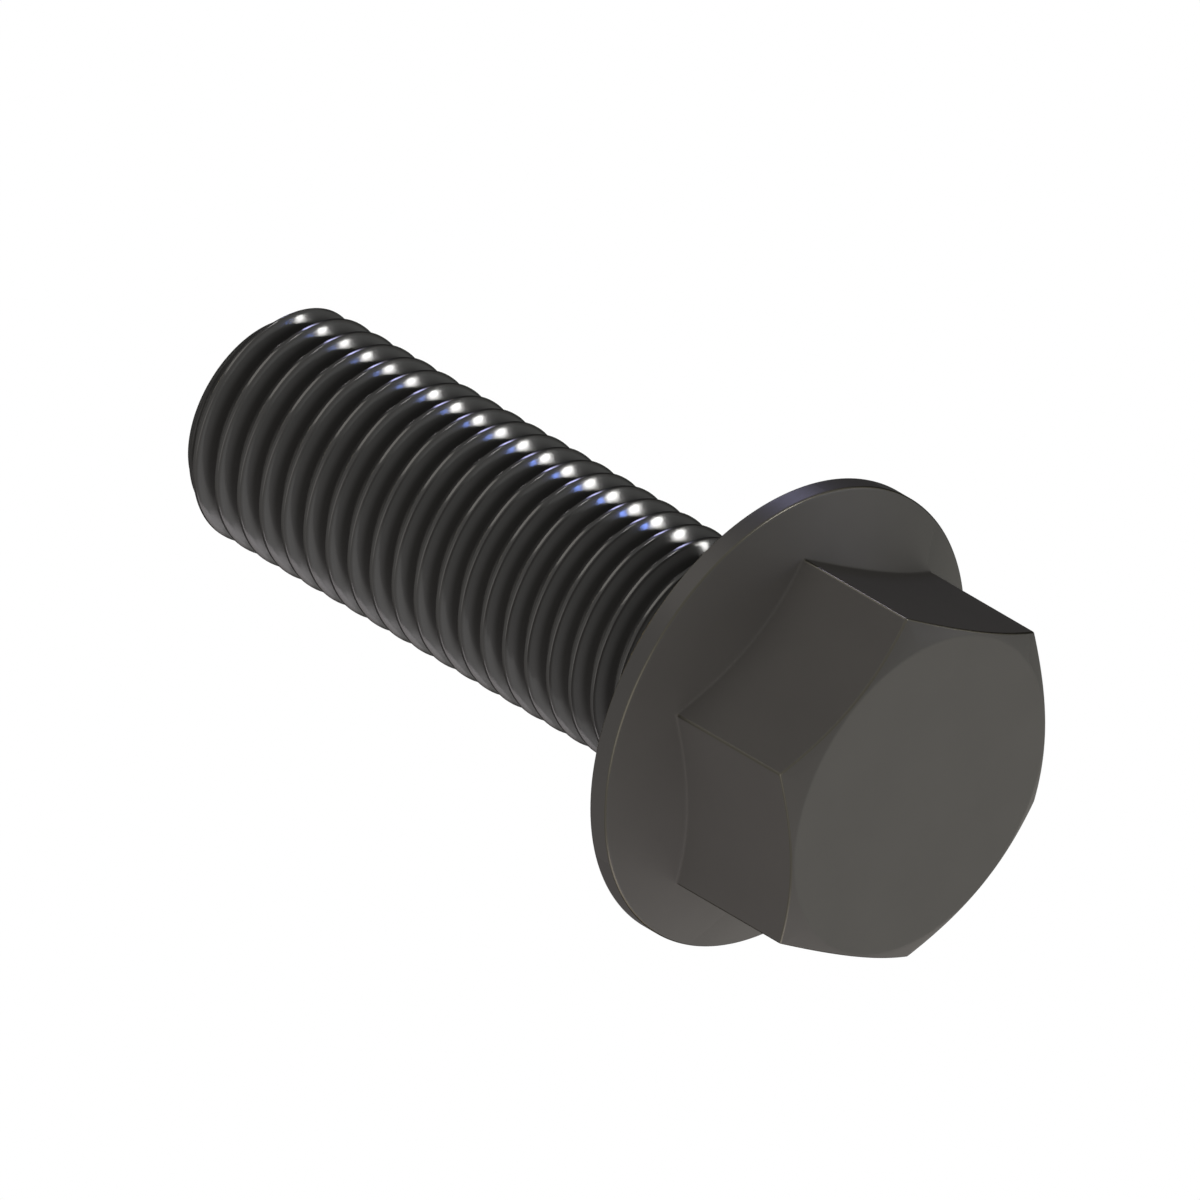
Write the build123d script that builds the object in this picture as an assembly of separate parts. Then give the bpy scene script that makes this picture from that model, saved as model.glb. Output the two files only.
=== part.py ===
from build123d import *

import os
from math import atan2, ceil, cos, degrees, pi, radians, tan

# A flange bolt forged and rolled in one piece. The origin is the centre of the flange's bearing face,
# +Z runs along the shank to its end, and the head lies below. Millimetres and degrees.

# Shank and thread
thread_diameter = 12.0
thread_pitch = 1.5
shank_length = 34.5
point_chamfer = 1.15
neck_length = 3.0
under_head_chamfer = 0.8
run_out_turns = 1.0

# Flange and hexagon
flange_diameter = 24.0
rim_thickness = 1.05
flange_slope = 30.0
across_flats = 17.0
hexagon_sides = 6
head_height = 10.2
top_face_inset = 0.15
top_chamfer_angle = 30.0

# Metric thread form: the angle between the flanks, the crest's flat in shares of the pitch, and the depth
# of the pitch line in shares of the sharp triangle's height
thread_angle = 60.0
crest_share = 1 / 8
pitch_line_share = 3 / 8

# How far the body that cuts the groove stands out of the shank, in shares of the pitch
cutter_overlap_share = 0.06

# The groove is a plain V with the thread's true mouth, cut down to the pitch diameter
major_radius = thread_diameter / 2
sharp_height = thread_pitch / 2 / tan(radians(thread_angle / 2))
groove_depth = pitch_line_share * sharp_height
mouth_width = (1 - crest_share) * thread_pitch
groove_slope = mouth_width / 2 / groove_depth
cutter_overlap = cutter_overlap_share * thread_pitch

# The neck keeps the diameter of the blank before rolling, which is the pitch diameter
pitch_radius = major_radius - groove_depth

# The flange's cone runs in under the hexagon as far as the shank's radius
flange_radius = flange_diameter / 2
cone_top = -rim_thickness - (flange_radius - major_radius) * tan(radians(flange_slope))

corner_radius = across_flats / 2 / cos(pi / hexagon_sides)
top_radius = across_flats / 2 - top_face_inset


def turned_body() -> Part:
    """Flange and plain shank, turned about the bolt's axis."""
    under_head_corner = (pitch_radius, 0)
    outline = Polyline(
        (0, shank_length),
        (major_radius - point_chamfer, shank_length),
        (major_radius, shank_length - point_chamfer),
        (major_radius, neck_length + groove_depth),
        (pitch_radius, neck_length),
        under_head_corner,
        (flange_radius, 0),
        (flange_radius, -rim_thickness),
        (major_radius, cone_top),
        (0, cone_top),
        close=True,
    )
    half_section = make_face(outline)
    corner = half_section.vertices().sort_by_distance(under_head_corner)[0]
    return revolve(Plane.XZ * chamfer(corner, under_head_chamfer), Axis.Z)


def hexagon() -> Part:
    """Wrench hexagon with a corner on +Y, its top corners taken off by a cone."""
    outline = RegularPolygon(corner_radius, hexagon_sides, rotation=90)
    blank = extrude(Pos(0, 0, -rim_thickness) * outline, rim_thickness - head_height)
    chamfer_height = (corner_radius - top_radius) * tan(radians(top_chamfer_angle))
    envelope = Polyline(
        (0, -rim_thickness),
        (corner_radius, -rim_thickness),
        (corner_radius, chamfer_height - head_height),
        (top_radius, -head_height),
        (0, -head_height),
        close=True,
    )
    return blank & revolve(Plane.XZ * make_face(envelope), Axis.Z)


def groove_corners(turn: float) -> list[tuple[float, float]]:
    """Radius and height of the groove's bottom and its two outer corners, this many turns up from the neck."""
    shallow_radius = major_radius + cutter_overlap / 2
    outer_radius = major_radius + cutter_overlap
    share = min(turn / run_out_turns, 1)
    bottom_radius = shallow_radius + share * (pitch_radius - shallow_radius)
    half_width = (outer_radius - bottom_radius) * groove_slope
    middle = neck_length + turn * thread_pitch
    return [
        (bottom_radius, middle),
        (outer_radius, middle + half_width),
        (outer_radius, middle - half_width),
    ]


def corner_helix(corner: int, first_turn: float, last_turn: float) -> Edge:
    """Right-hand helix that one corner of the groove follows between two turns."""
    start_radius, start_height = groove_corners(first_turn)[corner]
    end_radius, end_height = groove_corners(last_turn)[corner]
    rise = end_height - start_height
    slant = atan2(end_radius - start_radius, rise)
    pitch_along_slant = rise / (last_turn - first_turn) / cos(slant)
    helix = Edge.make_helix(
        pitch_along_slant, rise, start_radius, (0, 0, start_height), angle=degrees(slant)
    )
    return helix.rotate(Axis.Z, 360 * first_turn)


def groove_cutter() -> Solid:
    """Body of the thread's groove: it fades out above the neck and runs past the shank's end."""
    turn_count = (shank_length + thread_pitch - neck_length) / thread_pitch
    full_turns = ceil(turn_count - run_out_turns)
    stops = [0, *(run_out_turns + turn for turn in range(full_turns)), turn_count]
    faces = []
    for first_turn, last_turn in zip(stops, stops[1:]):
        corner_count = len(groove_corners(first_turn))
        edges = [corner_helix(corner, first_turn, last_turn) for corner in range(corner_count)]
        for edge, following in zip(edges, edges[1:] + edges[:1]):
            faces.append(Face.make_surface_from_curves(edge, following))
        if first_turn == stops[0]:
            faces.append(Face(Wire.make_polygon([edge @ 0 for edge in edges])))
    faces.append(Face(Wire.make_polygon([edge @ 1 for edge in edges])))
    return Solid(Shell(faces))


flange_bolt = turned_body() + hexagon() - groove_cutter()

os.makedirs("parts", exist_ok=True)
export_step(flange_bolt, "parts/flange_bolt.step")
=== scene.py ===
from math import cos, pi, radians, sin, sqrt, tan

import bmesh
import bpy
from mathutils import Matrix, Vector


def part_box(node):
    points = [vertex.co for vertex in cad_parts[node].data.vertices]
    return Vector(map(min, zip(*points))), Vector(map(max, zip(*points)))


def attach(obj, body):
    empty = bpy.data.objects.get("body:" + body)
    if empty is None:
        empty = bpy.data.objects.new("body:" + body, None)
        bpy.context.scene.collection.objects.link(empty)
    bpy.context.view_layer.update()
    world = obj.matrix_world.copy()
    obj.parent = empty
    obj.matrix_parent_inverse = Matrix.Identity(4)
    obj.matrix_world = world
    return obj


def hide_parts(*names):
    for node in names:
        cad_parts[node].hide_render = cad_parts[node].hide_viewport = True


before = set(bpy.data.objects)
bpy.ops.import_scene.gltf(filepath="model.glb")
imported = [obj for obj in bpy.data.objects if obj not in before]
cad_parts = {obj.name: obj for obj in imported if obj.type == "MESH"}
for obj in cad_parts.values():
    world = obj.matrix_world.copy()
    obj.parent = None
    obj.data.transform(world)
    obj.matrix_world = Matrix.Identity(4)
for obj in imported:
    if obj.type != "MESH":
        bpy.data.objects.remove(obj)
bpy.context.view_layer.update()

mm = 0.001
near = 0.01 * mm  # places closer than this are taken as one
# the flange sets the bolt's width, and the head's top and the shank's end its height
low, high = (Vector(corner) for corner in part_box("flange_bolt"))
boltAxis = Vector((0, 0, 1))  # the head is below the bearing face at z = 0, the thread above it

photoView = {
    "frame": 1200,  # pixels across the square frame
    "pixelsPerMm": 21.0,
    "bearingCentre": (769.4, 707.8),  # pixel of the bearing face's middle, from the frame's upper left
    "azimuth": 44.5,  # degrees that the camera turns towards -X from facing the head, with -Y up
    "elevation": 34.87,  # degrees that it then rises towards -Y
    "distance": 400 * mm,
}


def lookFrom(view):
    azimuth, elevation = radians(view["azimuth"]), radians(view["elevation"])
    right = Vector((cos(azimuth), 0, -sin(azimuth)))
    back = Vector((-cos(elevation) * sin(azimuth), -sin(elevation), -cos(elevation) * cos(azimuth)))
    return right, back.cross(right), back


viewRight, viewUp, viewBack = lookFrom(photoView)


def placeCamera(view):
    pixel = mm / view["pixelsPerMm"]
    across = view["frame"] / 2 - view["bearingCentre"][0]
    above = view["bearingCentre"][1] - view["frame"] / 2
    target = pixel * (across * viewRight + above * viewUp)
    data = bpy.data.cameras.new("photoCamera")
    data.type = "ORTHO"
    data.ortho_scale = view["frame"] * pixel
    data.clip_start = 1 * mm
    camera = bpy.data.objects.new("photoCamera", data)
    turned = Matrix((viewRight, viewUp, viewBack)).transposed().to_4x4()
    camera.matrix_world = Matrix.Translation(target + view["distance"] * viewBack) @ turned
    bpy.context.collection.objects.link(camera)
    bpy.context.scene.camera = camera


threadForm = {
    "diameter": 12.0 * mm,
    "pitch": 1.5 * mm,
    "flankAngle": 30.0,  # each flank, from square to the axis
    "crestShare": 1 / 8,
    "rootRadiusShare": 0.1443,  # the rolled root's radius, in pitches
    "crestRounding": 0.07 * mm,  # radius at the two edges of the crest's flat
    "rootCuts": 8,
    "crestCuts": 4,
    "flankCuts": 3,
    "stepsPerTurn": 120,
    "weld": 0.002 * mm,  # joins each turn to the next
    "grooveStart": 3.0 * mm,  # height at which the groove's middle crosses +X
    "neckRadius": 5.513 * mm,
    "neckTop": 2.4 * mm,  # the thread grows out of the neck between these heights
    "fullThread": 4.7 * mm,
    "neckSeam": 1.5 * mm,  # height at which the thread's mesh is cut and joined to the head's
    "spareTurns": 2,  # spun below the groove's start, and cut away at the seam
    "cutSnap": 0.0005 * mm,  # a cut uses a vertex that is this close to it
    "pointChamfer": 1.15 * mm,
    "pointBlend": 0.05 * mm,  # softens the line where the chamfer cuts the thread
    "endRounding": 0.12 * mm,
    "endCuts": 3,
}


def openRing(bm, height):
    return [e for e in bm.edges if e.is_boundary and all(abs(v.co.z - height) < near for v in e.verts)]


def spinThread(bm, form):
    pitch, radius = form["pitch"], form["diameter"] / 2
    flankTan = tan(radians(form["flankAngle"]))
    crestHalf = form["crestShare"] * pitch / 2
    sharpDepth = (pitch / 2 - crestHalf) / flankTan
    start = form["grooveStart"] - (form["spareTurns"] + 1 / 2) * pitch  # a crest's middle on +X
    corners = [(radius, 0), (radius, crestHalf), (radius - sharpDepth, pitch / 2),
               (radius, pitch - crestHalf), (radius, pitch)]
    verts = [bm.verts.new((across, 0, start + up)) for across, up in corners]
    for one, other in zip(verts, verts[1:]):
        bm.edges.new((one, other))
    rootReach = form["rootRadiusShare"] * pitch / flankTan
    crestReach = form["crestRounding"] * tan(radians(90 - form["flankAngle"]) / 2)
    bmesh.ops.bevel(bm, geom=[verts[2]], affect="VERTICES", offset=rootReach, segments=form["rootCuts"],
                    profile=0.5, material=-1)
    crests = [v for v in bm.verts if abs(v.co.x - radius) < near and len(v.link_edges) == 2]
    bmesh.ops.bevel(bm, geom=crests, affect="VERTICES", offset=crestReach, segments=form["crestCuts"],
                    profile=0.5, material=-1)
    flanks = [e for e in bm.edges if e.calc_length() > sharpDepth / 2]  # the only long edges
    bmesh.ops.subdivide_edges(bm, edges=flanks, cuts=form["flankCuts"])
    steps = form["stepsPerTurn"]
    bmesh.ops.spin(bm, geom=bm.verts[:] + bm.edges[:], cent=(0, 0, 0), axis=boltAxis, angle=2 * pi,
                   steps=steps, dvec=(0, 0, pitch / steps), use_merge=False)
    turns = 1
    while start + turns * pitch < high.z:  # as many turns again on top, until the shank is full
        geom = bm.verts[:] + bm.edges[:] + bm.faces[:]
        copy = bmesh.ops.duplicate(bm, geom=geom)["geom"]
        bmesh.ops.translate(bm, verts=[v for v in copy if isinstance(v, bmesh.types.BMVert)],
                            vec=(0, 0, turns * pitch))
        turns *= 2
        tooHigh = [v for v in bm.verts if v.co.z > high.z + pitch]
        bmesh.ops.delete(bm, geom=tooHigh, context="VERTS")
    bmesh.ops.remove_doubles(bm, verts=bm.verts[:], dist=form["weld"])


def smoothStep(value, start, end):
    share = min(max((value - start) / (end - start), 0), 1)
    return share * share * (3 - 2 * share)


def softLower(one, other, blend):  # the lower of two sizes, with the corner between them rounded
    return (one + other - sqrt((one - other) ** 2 + blend ** 2)) / 2


def trimThread(bm, form):
    radius, neck = form["diameter"] / 2, form["neckRadius"]
    chamferStart = high.z - form["pointChamfer"]
    for v in bm.verts:
        away, height = v.co.xy.length, v.co.z
        grown = neck + smoothStep(height, form["neckTop"], form["fullThread"]) * (away - neck)
        chamfered = radius + chamferStart - height
        v.co.xy *= softLower(grown, chamfered, form["pointBlend"]) / away
    for height, side in ((form["neckSeam"], -1), (high.z - form["endRounding"], 1)):
        everything = bm.verts[:] + bm.edges[:] + bm.faces[:]
        bmesh.ops.bisect_plane(bm, geom=everything, dist=form["cutSnap"], plane_co=(0, 0, height),
                               plane_no=(0, 0, side), clear_outer=True)
    loose = [v for v in bm.verts if not v.link_faces]
    bmesh.ops.delete(bm, geom=loose, context="VERTS")


def extrudeRing(bm, ring):
    made = bmesh.ops.extrude_edge_only(bm, edges=ring)["geom"]
    verts = [item for item in made if isinstance(item, bmesh.types.BMVert)]
    edges = [item for item in made if isinstance(item, bmesh.types.BMEdge)]
    onRing = set(verts)
    return verts, [e for e in edges if all(v in onRing for v in e.verts)]


def closeEnd(bm, form):
    rounding = form["endRounding"]
    ring = openRing(bm, high.z - rounding)
    arcRadius = sqrt(2) * rounding  # an arc of 45 degrees is then as high as the rounding
    centre = form["diameter"] / 2 - form["pointChamfer"] + rounding - arcRadius
    for cut in range(form["endCuts"]):
        angle = radians(45) * (cut + 1) / form["endCuts"]
        verts, ring = extrudeRing(bm, ring)
        for v in verts:
            v.co.xy = v.co.xy.normalized() * (centre + arcRadius * cos(angle))
            v.co.z = high.z - rounding + arcRadius * sin(angle)
    cap = bmesh.ops.contextual_create(bm, geom=ring)["faces"]
    bmesh.ops.inset_region(bm, faces=cap, thickness=rounding, use_even_offset=True)


headForm = {
    "sides": 6,
    "acrossFlats": 17.0 * mm,
    "cornerRounding": 0.14 * mm,
    "cornerCuts": 4,
    "flatCuts": 39,
    "topFaceRadius": 8.35 * mm,
    "topChamferAngle": 30.0,
    "flangeSlope": 30.0,
    "rimThickness": 1.05 * mm,
    "edgeRounding": 0.07 * mm,
    "edgeCuts": 3,
    "holdingGap": 0.16 * mm,  # from an edge to the next ring, so that the flat beside it stays flat
    "underHeadRadius": 0.8 * mm,
    "underHeadCuts": 10,
    "uprightLimit": 0.2,  # most that an upright face's normal points up or down
}


def lowestFace(bm):
    return min(bm.faces, key=lambda face: face.calc_center_median().z)


def forgeHead(bm, form, neckRadius):
    sides, rim, gap = form["sides"], form["rimThickness"], form["holdingGap"]
    flangeRadius, top = high.x, low.z
    chamferTan, slopeTan = tan(radians(form["topChamferAngle"])), tan(radians(form["flangeSlope"]))
    cornerRadius = form["acrossFlats"] / 2 / cos(pi / sides)
    topRadius, underHead = form["topFaceRadius"], neckRadius + form["underHeadRadius"]
    corners = bmesh.ops.create_circle(bm, cap_ends=True, segments=sides, radius=cornerRadius,
                                      matrix=Matrix.Translation((0, 0, top)))["verts"]
    bmesh.ops.bevel(bm, geom=corners, affect="VERTICES", offset=form["cornerRounding"] * tan(pi / sides),
                    segments=form["cornerCuts"], profile=0.5, material=-1)
    straight = [e for e in lowestFace(bm).edges if e.calc_length() > form["acrossFlats"] / 4]
    bmesh.ops.subdivide_edges(bm, edges=straight, cuts=form["flatCuts"])
    topFace = lowestFace(bm)
    ring, verts = topFace.edges[:], topFace.verts[:]

    def coneHeight(away):
        return -rim - (flangeRadius - away) * slopeTan

    def chamferHeight(away):
        return top + (away - topRadius) * chamferTan

    # each ring's kind of edge, and its radius and height from the hexagon's own radius in that direction
    walk = [
        (None, lambda flat: (topRadius - gap, top)),
        ("inner", lambda flat: (topRadius, top)),
        ("edge", lambda flat: (flat, chamferHeight(flat))),
        (None, lambda flat: (flat, chamferHeight(flat) + gap)),
        (None, lambda flat: (flat, coneHeight(flat) - gap)),
        ("inner", lambda flat: (flat, coneHeight(flat))),
        (None, lambda flat: (flat + gap, coneHeight(flat + gap))),
        (None, lambda flat: ((flat + flangeRadius) / 2, coneHeight((flat + flangeRadius) / 2))),
        (None, lambda flat: (flangeRadius - gap, coneHeight(flangeRadius - gap))),
        ("edge", lambda flat: (flangeRadius, -rim)),
        (None, lambda flat: (flangeRadius, gap - rim)),
        (None, lambda flat: (flangeRadius, -gap)),
        ("edge", lambda flat: (flangeRadius, 0)),
        (None, lambda flat: (flangeRadius - gap, 0)),
        (None, lambda flat: (underHead + gap, 0)),
        ("fillet", lambda flat: (neckRadius, 0)),
        (None, lambda flat: (neckRadius, form["underHeadRadius"] + gap)),
    ]
    flats = {v: v.co.xy.length for v in verts}
    bent = {kind: [] for kind, place in walk}
    for step, (kind, place) in enumerate(walk):
        if step:
            before = verts
            verts, ring = extrudeRing(bm, ring)
            # a new vertex starts on the old one that it comes from
            flats = {v: flats[min(before, key=lambda old: (old.co - v.co).length_squared)] for v in verts}
        for v in verts:
            away, height = place(flats[v])
            v.co.xy = v.co.xy.normalized() * away
            v.co.z = height
        bent[kind] += ring
    darkGlossyEdge = bm.faces.layers.float.new("darkGlossyEdge")  # 1 on the head's edges, which are darker and glossier
    for kind, reach, cuts in (("edge", form["edgeRounding"], form["edgeCuts"]),
                              ("inner", form["edgeRounding"], form["edgeCuts"]),
                              ("fillet", form["underHeadRadius"], form["underHeadCuts"])):
        made = bmesh.ops.bevel(bm, geom=bent[kind], affect="EDGES", offset=reach, segments=cuts,
                               profile=0.5, material=-1)
        if kind == "edge":
            for face in made["faces"]:
                face[darkGlossyEdge] = 1
    print("head forged, faces:", len(bm.faces))
    bm.normal_update()
    for face in bm.faces:  # the hexagon's rounded corners are the only narrow upright faces below the rim
        upright = abs(face.normal.z) < form["uprightLimit"] and face.calc_center_median().z < -rim
        if upright and min(e.calc_length() for e in face.edges) < form["cornerRounding"] / 2:
            face[darkGlossyEdge] = 1


def buildBolt():
    bm = bmesh.new()
    spinThread(bm, threadForm)
    trimThread(bm, threadForm)
    closeEnd(bm, threadForm)
    print("thread rolled, faces:", len(bm.faces))
    forgeHead(bm, headForm, threadForm["neckRadius"])
    headSeam = headForm["underHeadRadius"] + headForm["holdingGap"]
    bmesh.ops.bridge_loops(bm, edges=openRing(bm, headSeam) + openRing(bm, threadForm["neckSeam"]))
    bmesh.ops.recalc_face_normals(bm, faces=bm.faces[:])
    for face in bm.faces:
        face.smooth = True
    openEdges = sum(1 for e in bm.edges if not e.is_manifold)
    mesh = bpy.data.meshes.new("threadedBolt")
    bm.to_mesh(mesh)
    bm.free()
    bolt = bpy.data.objects.new("threadedBolt", mesh)
    bpy.context.collection.objects.link(bolt)
    triangles = sum(len(face.vertices) - 2 for face in mesh.polygons)
    print("bolt built, triangles:", triangles, "open edges:", openEdges)
    return bolt


blackOxide = {
    # each zone of the coat: colour, metallic and roughness
    "forged": ((0.0780, 0.0736, 0.0682), 0.12, 0.50),
    "rim": ((0.0780, 0.0745, 0.0705), 0.17, 0.38),  # trimmed smoother than the forged faces
    "thread": ((0.0960, 0.0955, 0.0930), 0.26, 0.12),  # burnished glossier by the rolling dies; its lighter colour is painted light that lifts the shade in the grooves
    # painted shade: the crests' darker colour offsets the extra light that they catch; they are also
    # glossier
    "crest": ((0.0620, 0.0605, 0.0580), 0.50, 0.15),
    "root": ((0.0420, 0.0410, 0.0390), 0.22, 0.20),  # painted shade: darkest at the roots, deep in the grooves
    "edge": ((0.0640, 0.0600, 0.0490), 0.80, 0.30),  # the head's edges, darker and glossier
    # a zone fades in from the first radius to the second
    "rimRadii": (11.85 * mm, 11.95 * mm),
    # painted shade on the crests fades in between these radii
    "crestShadeRadii": (5.82 * mm, 5.96 * mm),
    # painted shade in the roots fades in between these radii
    "rootShadeRadii": (5.72 * mm, 5.32 * mm),
    "edgeTint": (0.05, 0.05, 0.05),  # the coat reflects little at a glancing angle
    "cloudShade": 0.90,  # how dark the clouds in the coat are, as a share of its colour
    "cloudScale": 260.0,  # per metre
    "cloudDetail": 4,
    "cloudRoughness": 0.02,
    "grainScale": 5200.0,  # per metre
    "grainDetail": 3,
    "grainDepth": 0.004 * mm,
    "grainStrength": 0.35,
}


def linkNodes(tree, pairs):
    for start, end in pairs:
        tree.links.new(start, end)


def ramp(tree, value, start, end, least=0, most=1):
    node = tree.nodes.new("ShaderNodeMapRange")
    node.interpolation_type = "SMOOTHSTEP"
    for name, number in (("From Min", start), ("From Max", end), ("To Min", least), ("To Max", most)):
        node.inputs[name].default_value = number
    linkNodes(tree, [(value, node.inputs["Value"])])
    return node.outputs["Result"]


def calculate(tree, operation, one, other):
    node = tree.nodes.new("ShaderNodeMath")
    node.operation = operation
    linkNodes(tree, [(one, node.inputs[0]), (other, node.inputs[1])])
    return node.outputs["Value"]


def blend(tree, factor, one, other, way="MIX"):  # two colours, or two plain numbers
    node = tree.nodes.new("ShaderNodeMix")
    if isinstance(other, tuple):
        node.data_type, node.blend_type = "RGBA", way
    share, *sockets = [socket for socket in node.inputs if socket.enabled]
    linkNodes(tree, [(factor, share)])
    for socket, value in zip(sockets, (one, other)):
        if isinstance(value, bpy.types.NodeSocket):
            linkNodes(tree, [(value, socket)])
        else:
            socket.default_value = (*value, 1) if isinstance(value, tuple) else value
    return next(socket for socket in node.outputs if socket.enabled)


def makeBlackOxide(look):
    material = bpy.data.materials.new("blackOxide")
    material.use_nodes = True
    tree = material.node_tree
    add = tree.nodes.new
    shader = tree.nodes["Principled BSDF"]
    shader.inputs["Specular IOR Level"].default_value = 0
    shader.inputs["Specular Tint"].default_value = (*look["edgeTint"], 1)
    place = add("ShaderNodeTexCoord").outputs["Object"]
    clouds, grain = add("ShaderNodeTexNoise"), add("ShaderNodeTexNoise")
    clouds.inputs["Scale"].default_value = look["cloudScale"]
    clouds.inputs["Detail"].default_value = look["cloudDetail"]
    grain.inputs["Scale"].default_value = look["grainScale"]
    grain.inputs["Detail"].default_value = look["grainDetail"]
    axis = add("ShaderNodeSeparateXYZ")
    acrossAxis, away = add("ShaderNodeVectorMath"), add("ShaderNodeVectorMath")
    acrossAxis.operation, away.operation = "MULTIPLY", "LENGTH"
    acrossAxis.inputs[1].default_value = (1, 1, 0)
    linkNodes(tree, [(place, node.inputs[0]) for node in (clouds, grain, axis, acrossAxis)])
    linkNodes(tree, [(acrossAxis.outputs["Vector"], away.inputs[0])])
    radius, cloud = away.outputs["Value"], clouds.outputs["Fac"]
    onThread = ramp(tree, axis.outputs["Z"], threadForm["neckTop"], threadForm["fullThread"])
    darkGlossyEdge = add("ShaderNodeAttribute")
    darkGlossyEdge.attribute_name = "darkGlossyEdge"
    zones = (
        ("rim", ramp(tree, radius, *look["rimRadii"])),
        # painted light: the thread's lighter colour lifts the shade in its grooves
        ("thread", onThread),
        # painted shade: the crests are darker, to offset the extra light that they catch
        ("crest", calculate(tree, "MULTIPLY", onThread, ramp(tree, radius, *look["crestShadeRadii"]))),
        # painted shade: darker towards the roots, deep in the grooves
        ("root", calculate(tree, "MULTIPLY", onThread, ramp(tree, radius, *look["rootShadeRadii"]))),
        ("edge", darkGlossyEdge.outputs["Fac"]),
    )
    colour, metallic, roughness = look["forged"]
    for zone, share in zones:
        zoneColour, zoneMetallic, zoneRoughness = look[zone]
        colour = blend(tree, share, colour, zoneColour)
        metallic = blend(tree, share, metallic, zoneMetallic)
        roughness = blend(tree, share, roughness, zoneRoughness)
    colour = blend(tree, cloud, colour, (look["cloudShade"],) * 3, "MULTIPLY")
    change = ramp(tree, cloud, 0, 1, -look["cloudRoughness"], look["cloudRoughness"])
    bump = add("ShaderNodeBump")
    bump.inputs["Strength"].default_value = look["grainStrength"]
    bump.inputs["Distance"].default_value = look["grainDepth"]
    linkNodes(tree, [
        (colour, shader.inputs["Base Color"]),
        (metallic, shader.inputs["Metallic"]),
        (calculate(tree, "ADD", roughness, change), shader.inputs["Roughness"]),
        (grain.outputs["Fac"], bump.inputs["Height"]),
        (bump.outputs["Normal"], shader.inputs["Normal"]),
    ])
    print("black oxide mixed, nodes:", len(tree.nodes))
    return material


studio = {
    "floorColour": (0.86, 0.86, 0.85),
    "floorSize": 700 * mm,
    "floorGap": 0.01 * mm,  # under the head, so that the two surfaces don't share a plane
    "ambient": 0.40,  # the world's light on matt surfaces, as a share of white
    "lampDistance": 300 * mm,
    # each lamp: direction as right, up and towards the camera, width, brightness as white = 1, colour
    "lamps": {
        "behind": ((0.54, -0.37, -0.75), 260 * mm, 1.85, (1.0, 1.0, 0.98)),
        "below": ((-0.06, -0.96, -0.26), 260 * mm, 0.70, (0.98, 0.93, 1.0)),
        "front": ((-0.30, -0.40, 0.85), 300 * mm, 0.43, (1.0, 0.96, 0.94)),
        "right": ((0.87, -0.40, 0.02), 260 * mm, 0.46, (0.92, 1.0, 0.97)),
    },
    # seen only as reflections
    "glints": {
        "white": ((0.990, 0.140, -0.060), 44 * mm, 0.37, (1.0, 1.0, 1.0)),
        "blue": ((0.060, 0.890, -0.450), 60 * mm, 1.05, (0.50, 0.53, 1.0)),
        "flankBlue": ((0.983, 0.124, 0.085), 20 * mm, 0.09, (0.20, 0.33, 1.0)),
        "rimLine": ((0.660, 0.650, 0.350), 60 * mm, 0.42, (0.95, 0.95, 1.0)),
        "crest": ((0.110, 0.820, -0.557), 30 * mm, 0.05, (1.0, 1.0, 1.0)),
        "streak": ((-0.500, 0.840, 0.200), 190 * mm, 0.30, (1.0, 0.98, 0.94)),
    },
    "overhead": (60 * mm, 0.8),  # lights the thread and the floor where the camera looks down on the bolt
}


def hangLamp(name, toLamp, distance, width, brightness, colour, glint=False):
    data = bpy.data.lights.new(name, "AREA")
    data.shape = "DISK"
    data.size = width
    # the watts that light a white surface facing the lamp to this share of white
    data.energy = brightness * (pi * distance) ** 2
    data.color = colour
    lamp = bpy.data.objects.new(name, data)
    lamp.visible_camera = False
    lamp.visible_diffuse = not glint
    middle = Vector((0, 0, (low.z + high.z) / 2))
    lamp.matrix_world = (Matrix.Translation(middle + distance * toLamp)
                         @ toLamp.to_track_quat("Z", "Y").to_matrix().to_4x4())
    bpy.context.collection.objects.link(lamp)


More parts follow.
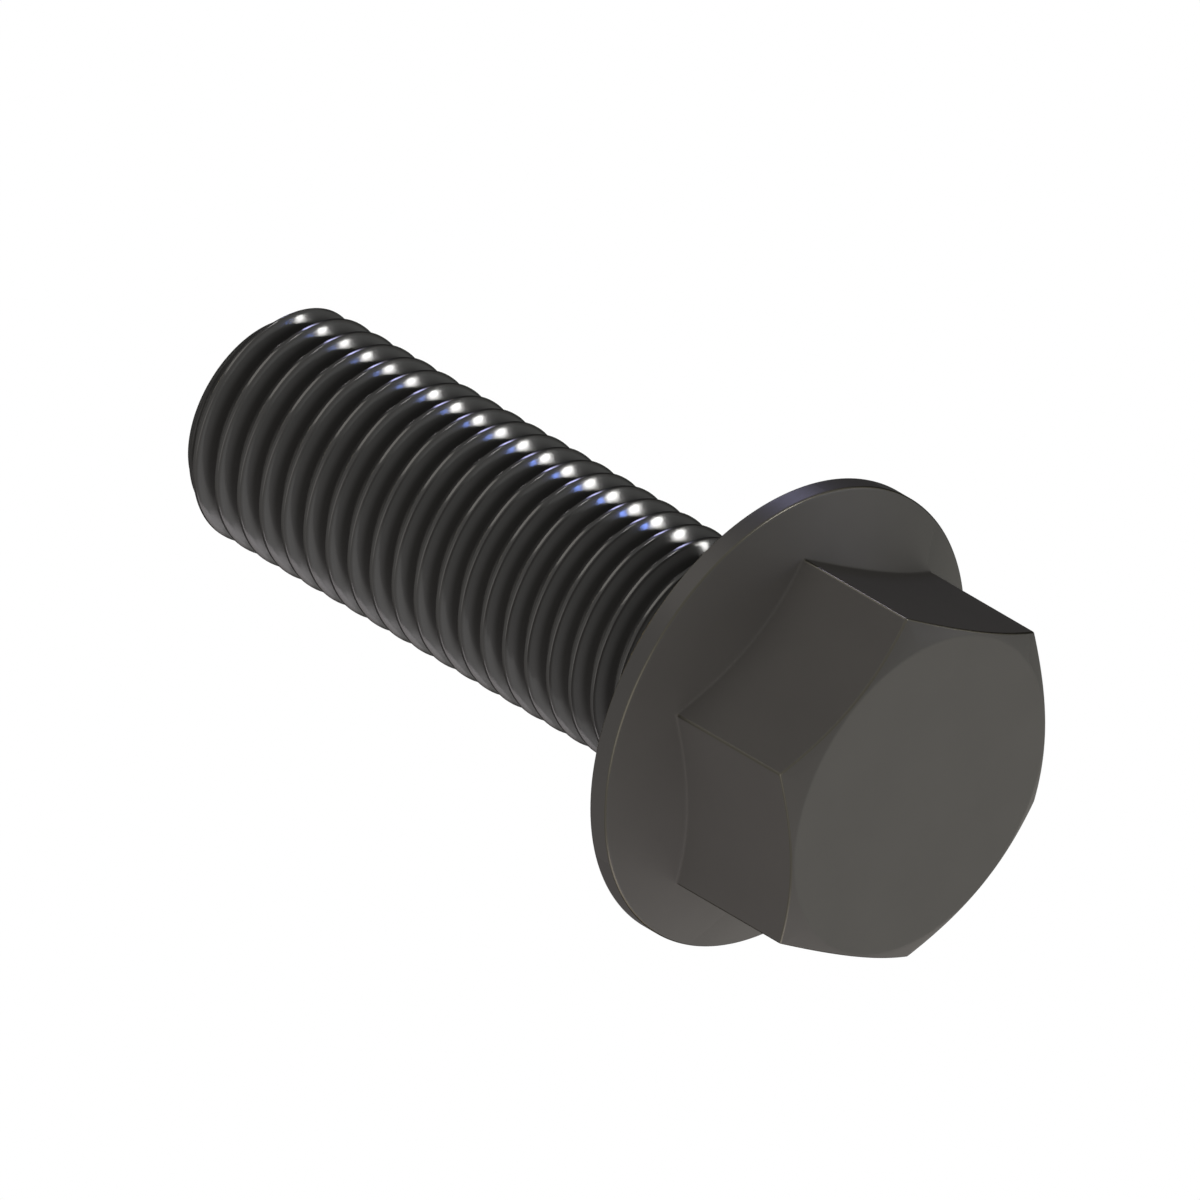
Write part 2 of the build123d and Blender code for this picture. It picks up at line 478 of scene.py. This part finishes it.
def lightStudio(look):
    scene = bpy.context.scene
    scene.view_settings.view_transform = "Standard"
    world = bpy.data.worlds.new("studioWorld")
    world.use_nodes = True
    scene.world = world
    tree = world.node_tree
    back = tree.nodes["Background"]
    back.inputs["Color"].default_value = (1, 1, 1, 1)
    path = tree.nodes.new("ShaderNodeLightPath")
    seen = path.outputs["Is Camera Ray"]
    for ray in ("Is Glossy Ray", "Is Transmission Ray"):
        either = tree.nodes.new("ShaderNodeMath")
        either.operation = "MAXIMUM"
        linkNodes(tree, [(seen, either.inputs[0]), (path.outputs[ray], either.inputs[1])])
        seen = either.outputs["Value"]
    strength = tree.nodes.new("ShaderNodeMapRange")
    strength.inputs["To Min"].default_value = look["ambient"]
    strength.inputs["To Max"].default_value = 1.0
    linkNodes(tree, [
        (seen, strength.inputs["Value"]),
        (strength.outputs["Result"], back.inputs["Strength"]),
    ])
    for kind in ("lamps", "glints"):
        for name, (aim, width, brightness, colour) in look[kind].items():
            toLamp = aim[0] * viewRight + aim[1] * viewUp + aim[2] * viewBack
            hangLamp(name, toLamp.normalized(), look["lampDistance"], width, brightness, colour,
                     glint=kind == "glints")
    width, brightness = look["overhead"]
    hangLamp("overhead", boltAxis, look["lampDistance"], width, brightness, (1, 1, 1))
    print("studio lit, lamps:", len(look["lamps"]) + len(look["glints"]) + 1)


def layFloor(look):
    bm = bmesh.new()
    bmesh.ops.create_grid(bm, x_segments=1, y_segments=1, size=look["floorSize"] / 2,
                          matrix=Matrix.Translation((0, 0, low.z - look["floorGap"])))
    mesh = bpy.data.meshes.new("paleFloor")
    bm.to_mesh(mesh)
    bm.free()
    floor = bpy.data.objects.new("paleFloor", mesh)
    bpy.context.collection.objects.link(floor)
    material = bpy.data.materials.new("paleFloor")
    material.use_nodes = True
    tree = material.node_tree
    tree.nodes.clear()
    output = tree.nodes.new("ShaderNodeOutputMaterial")
    matt = tree.nodes.new("ShaderNodeBsdfDiffuse")
    matt.inputs["Color"].default_value = (*look["floorColour"], 1)
    clear = tree.nodes.new("ShaderNodeBsdfTransparent")
    mix = tree.nodes.new("ShaderNodeMixShader")
    path = tree.nodes.new("ShaderNodeLightPath")
    side = tree.nodes.new("ShaderNodeNewGeometry")
    # the floor shows only from above, because the photo's camera looks at the head from below,
    # and it is clear to the lamps
    front = tree.nodes.new("ShaderNodeMath")
    front.operation = "SUBTRACT"
    front.use_clamp = True
    linkNodes(tree, [
        (path.outputs["Is Camera Ray"], front.inputs[0]),
        (side.outputs["Backfacing"], front.inputs[1]),
        (front.outputs["Value"], mix.inputs["Fac"]),
        (clear.outputs["BSDF"], mix.inputs[1]),
        (matt.outputs["BSDF"], mix.inputs[2]),
        (mix.outputs["Shader"], output.inputs["Surface"]),
    ])
    mesh.materials.append(material)
    print("floor laid")


placeCamera(photoView)
bolt = buildBolt()
bolt.data.materials.append(makeBlackOxide(blackOxide))
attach(bolt, "root")
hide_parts("flange_bolt")
lightStudio(studio)
layFloor(studio)
